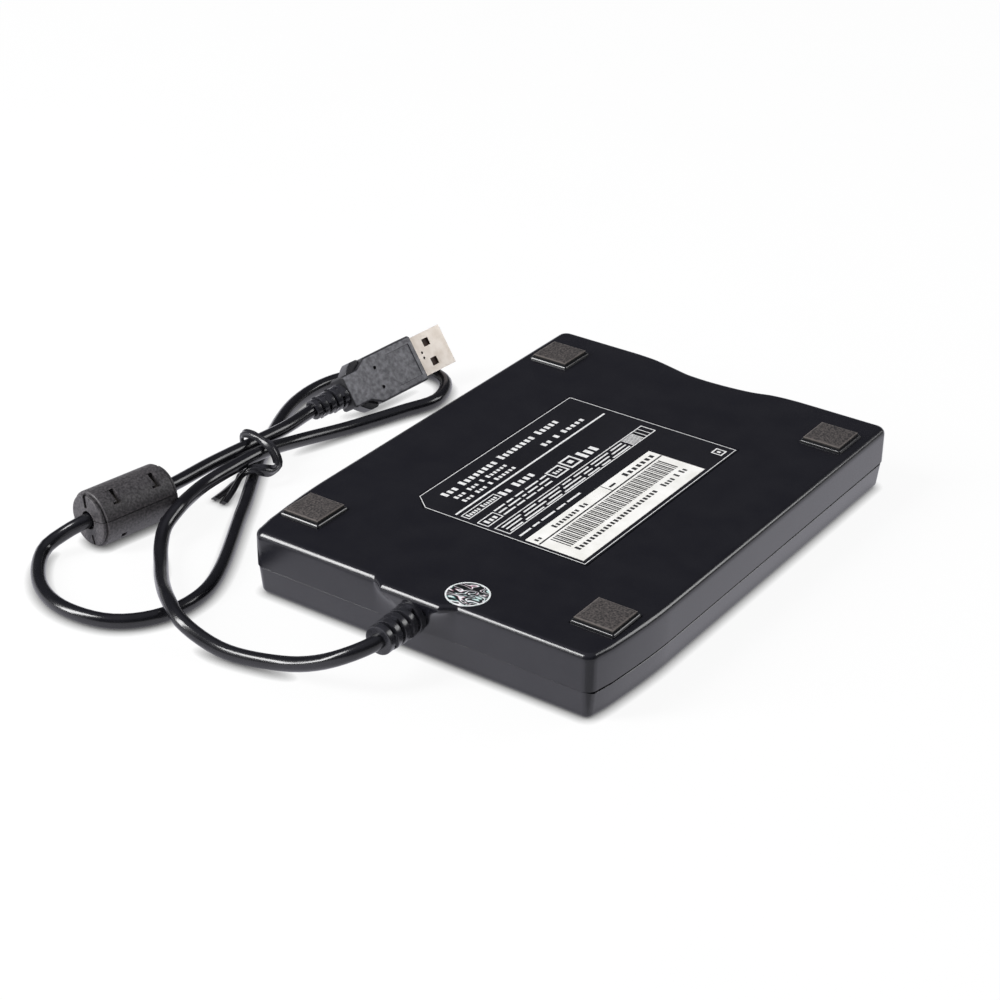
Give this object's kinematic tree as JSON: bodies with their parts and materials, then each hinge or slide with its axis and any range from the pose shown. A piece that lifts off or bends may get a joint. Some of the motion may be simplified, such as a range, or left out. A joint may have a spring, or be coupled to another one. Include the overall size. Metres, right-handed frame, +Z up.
{
  "type": "external floppy disk drive",
  "caption": "Slim flat black desktop drive for 90 mm disks, upside down on its cover, with a front slot, eject button, foam feet and a looped lead ending in a choke and a flat plug.",
  "frame": {"origin": "centre of the case's footprint, on the surface that it lies on", "axes": "+Y from the slot end to the lead end, +Z up toward the feet, because the drive lies upside down, +X to the right seen from the slot end"},
  "size_m": [0.16, 0.18, 0.0191],
  "materials": {
    "led_green": "clear",
    "bright_steel": "ground",
    "sticker_pale": "printed paper film",
    "case_black": "fine matte texture",
    "board_green": "solder mask",
    "chip_black": "moulded epoxy",
    "screw_steel": "zinc plated",
    "plated_steel": "pressed and plated",
    "switch_black": "moulded",
    "button_black": "satin",
    "ferrite": "sintered",
    "ribbon_amber": "polyimide film",
    "foam_grey": "soft foam rubber",
    "bezel_black": "fine matte texture",
    "nylon_white": "moulded nylon",
    "cord_black": "satin jacket",
    "tie_black": "coated wire",
    "lens_green": "clear, slightly tinted",
    "head_ceramic": "polished ceramic",
    "plug_black": "satin",
    "plug_steel": "plated",
    "label_black": "printed film",
    "bronze": "sintered",
    "copper_coil": "enamelled wire"
  },
  "bodies": {
    "base": {"activity_light": "led_green", "barcode_label": "sticker_pale", "bottom_shell": "case_black", "bridge_board": "board_green", "bridge_chip": "chip_black", "case_screw_front_left": "screw_steel", "case_screw_front_right": "screw_steel", "case_screw_rear_left": "screw_steel", "case_screw_rear_right": "screw_steel", "chassis": "plated_steel", "choke_lower_half": "case_black", "choke_upper_half": "case_black", "disk_switch_pair": "switch_black", "eject_spring_left": "bright_steel", "eject_spring_right": "bright_steel", "ferrite_core": "ferrite", "flat_cable": "ribbon_amber", "foot_pad_front_left": "foam_grey", "foot_pad_front_right": "foam_grey", "foot_pad_rear_left": "foam_grey", "foot_pad_rear_right": "foam_grey", "front_bezel": "bezel_black", "guide_rail": "bright_steel", "inner_lead": "cord_black", "lead": "cord_black", "lead_tie": "tie_black", "light_pipe": "lens_green", "motor_board": "board_green", "motor_chip": "chip_black", "plug_overmould": "plug_black", "plug_shell": "plug_steel", "plug_tongue": "nylon_white", "rail_bracket": "plated_steel", "rating_label": "label_black", "round_seal": "sticker_pale", "shield_plate": "plated_steel", "spindle_bearing": "bronze", "stator": "copper_coil", "stepper_motor": "plated_steel", "strain_relief": "cord_black", "top_cover": "case_black", "write_protect_switch": "switch_black"},
    "eject_slide": {"eject_slide": "plated_steel", "eject_button": "button_black"},
    "cradle": {"disk_cradle": "plated_steel"},
    "lever": {"shutter_lever": "plated_steel"},
    "door": {"slot_door": "bezel_black"},
    "write_protect_pin": {"write_protect_plunger": "switch_black"},
    "density_pin": {"density_plunger": "switch_black"},
    "disk_pin": {"disk_plunger": "switch_black"},
    "spindle": {"spindle_rotor": "plated_steel", "hub_plate": "bright_steel", "spindle_shaft": "bright_steel"},
    "screw": {"lead_screw": "bright_steel"},
    "carriage": {"head_carriage": "nylon_white", "screw_follower": "bronze", "lower_head": "head_ceramic", "arm_pin": "bright_steel"},
    "arm": {"head_arm": "nylon_white", "upper_head": "head_ceramic"}
  },
  "joints": [
    {"name": "eject_slide_travel", "type": "slide", "parent": "base", "child": "eject_slide", "axis": [0, -1, 0], "range_m": [0, 0.0045]},
    {"name": "cradle_drop", "type": "slide", "parent": "base", "child": "cradle", "axis": [0, 0, 1], "range_m": [0, 0.002]},
    {"name": "shutter_lever_turn", "type": "hinge", "parent": "cradle", "child": "lever", "pos_m": [-0.036, 0.0242, 0.0019], "axis": [0, 0, 1], "range_deg": [0, 64], "stiffness_Nm_per_rad": 0.001, "springref_deg": -28.65},
    {"name": "slot_door_turn", "type": "hinge", "parent": "base", "child": "door", "pos_m": [0, -0.06545, 0.00255], "axis": [-1, 0, 0], "range_deg": [0, 88], "stiffness_Nm_per_rad": 0.0005, "springref_deg": -28.65},
    {"name": "lead_screw_turn", "type": "hinge", "parent": "base", "child": "screw", "pos_m": [0.0126, 0.0267, 0.009], "axis": [0, 1, 0], "range_deg": [0, 1421]},
    {"name": "carriage_travel", "type": "slide", "parent": "base", "child": "carriage", "axis": [0, -1, 0], "range_m": [0, 0.0148]},
    {"name": "head_arm_swing", "type": "hinge", "parent": "carriage", "child": "arm", "pos_m": [0, 0.046, 0.0065], "axis": [-1, 0, 0], "range_deg": [0, 9.6]},
    {"name": "spindle_turn", "type": "hinge", "parent": "base", "child": "spindle", "pos_m": [0, -0.0196, 0.0089], "axis": [0, 0, 1], "continuous": true},
    {"name": "write_protect_press", "type": "slide", "parent": "base", "child": "write_protect_pin", "axis": [0, 0, 1], "range_m": [0, 0.001], "stiffness_N_per_m": 20, "springref_m": -0.001},
    {"name": "density_press", "type": "slide", "parent": "base", "child": "density_pin", "axis": [0, 0, 1], "range_m": [0, 0.001], "stiffness_N_per_m": 20, "springref_m": -0.001},
    {"name": "disk_press", "type": "slide", "parent": "base", "child": "disk_pin", "axis": [0, 0, 1], "range_m": [0, 0.001], "stiffness_N_per_m": 20, "springref_m": -0.001}
  ],
  "couplings": [
    {"joint": "cradle_drop", "follows": "eject_slide_travel", "ratio": 0.44444},
    {"joint": "head_arm_swing", "follows": "eject_slide_travel", "rad_per_m": 37.23},
    {"joint": "lead_screw_turn", "follows": "carriage_travel", "rad_per_m": 1675.5}
  ]
}
